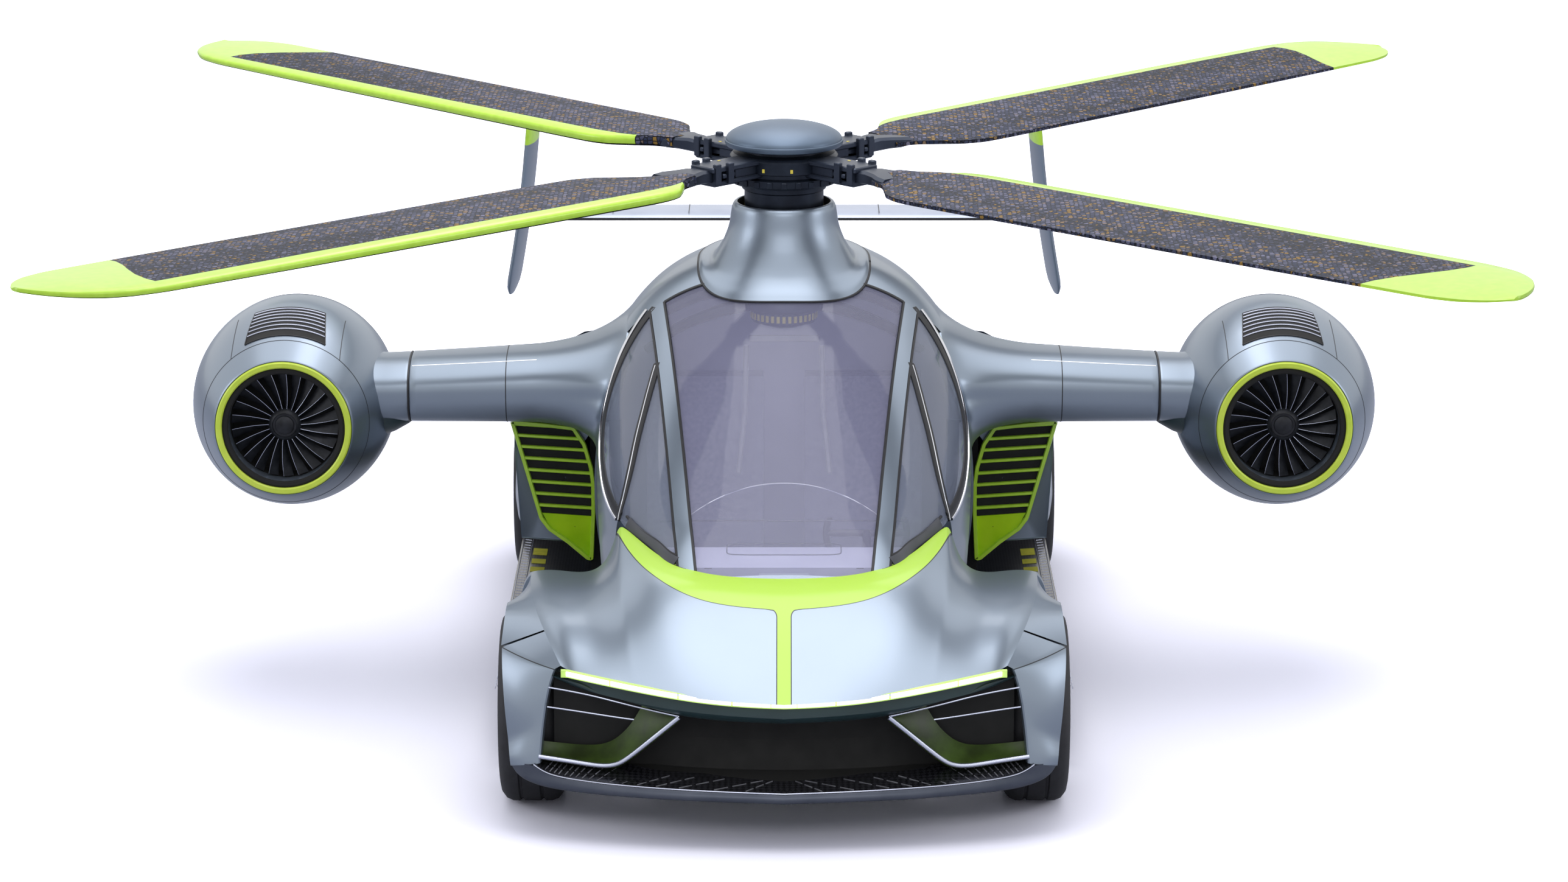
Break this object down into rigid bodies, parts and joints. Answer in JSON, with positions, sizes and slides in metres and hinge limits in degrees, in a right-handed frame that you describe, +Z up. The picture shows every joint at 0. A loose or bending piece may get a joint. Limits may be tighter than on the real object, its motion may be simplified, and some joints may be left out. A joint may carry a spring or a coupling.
{
  "type": "flying car, two-seat road car with a four-blade rotor and two ducted fans",
  "caption": "Silver-blue flying car with lime accents: bubble canopy, rotor on a mast, ducted fans on stub wings, twin-fin tail.",
  "frame": {"origin": "On the ground under the rotor mast.", "axes": "+X across to the car's left, -Y forward to the nose, +Z up."},
  "size_m": [5.106, 5.106, 2.187],
  "materials": {
    "body_paint": "satin metallic silver blue",
    "lime_paint": "satin lime green",
    "blade_weave": "dark composite with pale woven flecks",
    "carbon": "dark woven composite",
    "lamp_white": "white light strip",
    "glazing": "lavender tinted glass",
    "dark_metal": "dark satin coated metal",
    "fan_metal": "brushed grey vanes",
    "rim_metal": "dark satin alloy",
    "tyre_rubber": "black tread rubber",
    "cabin_trim": "pale lavender trim",
    "seat_fabric": "grey lavender upholstery",
    "dark_plastic": "black moulded plastic"
  },
  "bodies": {
    "body": {"front_body": "body_paint", "front_splitter": "carbon", "light_bar": "lamp_white", "rear_body": "body_paint", "windscreen": "glazing", "quarter_glass": "glazing", "cabin_tub": "body_paint", "roof_frame": "body_paint", "motor_cowl": "body_paint", "power_pack": "dark_metal", "bulkhead": "cabin_trim", "mast_fairing": "body_paint", "mast_gearbox": "dark_metal", "pod_shells": "body_paint", "pod_rings": "lime_paint", "fan_stators": "dark_metal", "stub_wings": "body_paint", "wing_pylons": "body_paint", "tail_boom": "body_paint", "tail_fins": "body_paint", "stabiliser": "body_paint", "dashboard": "cabin_trim", "seats": "seat_fabric", "steering_yoke": "dark_plastic", "floor_pan": "dark_plastic", "side_steps": "carbon", "louvre_panels": "lime_paint", "suspension_arms": "dark_metal", "rear_hub_carriers": "dark_metal"},
    "rotor": {"rotor_hub": "dark_metal", "rotor_cap": "body_paint", "rotor_blades": "blade_weave"},
    "left_fan": {"fan_left": "fan_metal"},
    "right_fan": {"fan_right": "fan_metal"},
    "left_door": {"door_left": "body_paint", "door_glass_left": "glazing"},
    "right_door": {"door_right": "body_paint", "door_glass_right": "glazing"},
    "left_knuckle": {"knuckle_left": "dark_metal"},
    "right_knuckle": {"knuckle_right": "dark_metal"},
    "front_left_wheel": {"tyre_front_left": "tyre_rubber", "rim_front_left": "rim_metal"},
    "front_right_wheel": {"tyre_front_right": "tyre_rubber", "rim_front_right": "rim_metal"},
    "rear_left_wheel": {"tyre_rear_left": "tyre_rubber", "rim_rear_left": "rim_metal"},
    "rear_right_wheel": {"tyre_rear_right": "tyre_rubber", "rim_rear_right": "rim_metal"}
  },
  "joints": [
    {"name": "rotor_spin", "type": "hinge", "parent": "body", "child": "rotor", "pos_m": [0, 0, 2.04], "axis": [0, 0, 1], "continuous": true},
    {"name": "left_fan_spin", "type": "hinge", "parent": "body", "child": "left_fan", "pos_m": [1.862, -0.33, 1.103], "axis": [0, 1, 0], "continuous": true},
    {"name": "right_fan_spin", "type": "hinge", "parent": "body", "child": "right_fan", "pos_m": [-1.862, -0.33, 1.103], "axis": [0, 1, 0], "continuous": true},
    {"name": "left_door_hinge", "type": "hinge", "parent": "body", "child": "left_door", "pos_m": [0.58, -0.962, 0.7], "axis": [0, 0, -1], "range_deg": [0, 60]},
    {"name": "right_door_hinge", "type": "hinge", "parent": "body", "child": "right_door", "pos_m": [-0.58, -0.962, 0.7], "axis": [0, 0, 1], "range_deg": [0, 60]},
    {"name": "left_steer", "type": "hinge", "parent": "body", "child": "left_knuckle", "pos_m": [0.8937, -1.4, 0.34], "axis": [0, 0, 1], "range_deg": [-28, 28]},
    {"name": "right_steer", "type": "hinge", "parent": "body", "child": "right_knuckle", "pos_m": [-0.8937, -1.4, 0.34], "axis": [0, 0, 1], "range_deg": [-28, 28]},
    {"name": "front_left_roll", "type": "hinge", "parent": "left_knuckle", "child": "front_left_wheel", "pos_m": [0.89, -1.4, 0.34], "axis": [1, 0, 0], "continuous": true},
    {"name": "front_right_roll", "type": "hinge", "parent": "right_knuckle", "child": "front_right_wheel", "pos_m": [-0.89, -1.4, 0.34], "axis": [1, 0, 0], "continuous": true},
    {"name": "rear_left_roll", "type": "hinge", "parent": "body", "child": "rear_left_wheel", "pos_m": [0.965, 1.62, 0.355], "axis": [1, 0, 0], "continuous": true},
    {"name": "rear_right_roll", "type": "hinge", "parent": "body", "child": "rear_right_wheel", "pos_m": [-0.965, 1.62, 0.355], "axis": [1, 0, 0], "continuous": true}
  ],
  "couplings": [
    {"joint": "right_steer", "follows": "left_steer", "ratio": 1}
  ]
}
